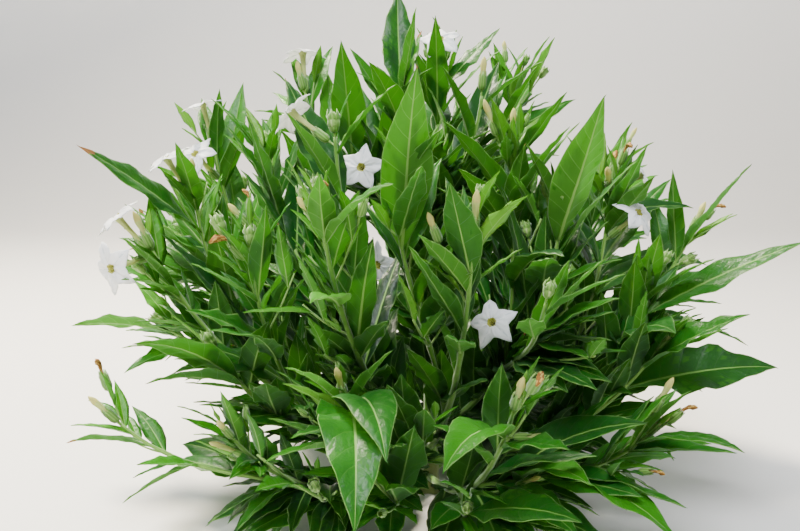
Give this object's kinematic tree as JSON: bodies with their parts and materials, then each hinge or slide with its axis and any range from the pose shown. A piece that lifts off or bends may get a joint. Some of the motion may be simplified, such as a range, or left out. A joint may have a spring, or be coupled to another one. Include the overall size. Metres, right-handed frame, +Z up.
{
  "type": "tobacco plant",
  "caption": "Bushy tobacco plant in flower: a short main stem forks low into leafy, flowering stems with lance-shaped leaves, white trumpet flowers, buds and seed capsules.",
  "frame": {"origin": "middle of the flat cut under the main stem, at ground level", "axes": "+Z is up, -Y is the side that the picture shows, +X is to the right in it"},
  "size_m": [0.7437, 0.7453, 0.5326],
  "materials": {
    "stem": "matte, softly hairy green stem",
    "foliage": "satin leaf green"
  },
  "bodies": {
    "root": {"main_stem": "stem", "bough_left_low": "stem", "bough_front_low": "stem", "bough_front_right_low": "stem", "bough_left_front": "stem", "bough_left": "stem", "bough_left_rear": "stem", "bough_front_left": "stem", "bough_front_middle": "stem", "bough_front_right": "stem", "bough_right_low": "stem", "bough_right": "stem", "bough_top": "stem", "bough_rear_right": "stem", "bough_rear_middle": "stem", "bough_rear_left": "stem", "bough_rear_low": "stem", "foliage_left_low": "foliage", "foliage_front_low": "foliage", "foliage_front_right_low": "foliage", "foliage_left_front": "foliage", "foliage_left": "foliage", "foliage_left_rear": "foliage", "foliage_front_left": "foliage", "foliage_front_middle": "foliage", "foliage_front_right": "foliage", "foliage_right_low": "foliage", "foliage_right": "foliage", "foliage_top": "foliage", "foliage_rear_right": "foliage", "foliage_rear_middle": "foliage", "foliage_rear_left": "foliage", "foliage_rear_low": "foliage"}
  },
  "joints": []
}
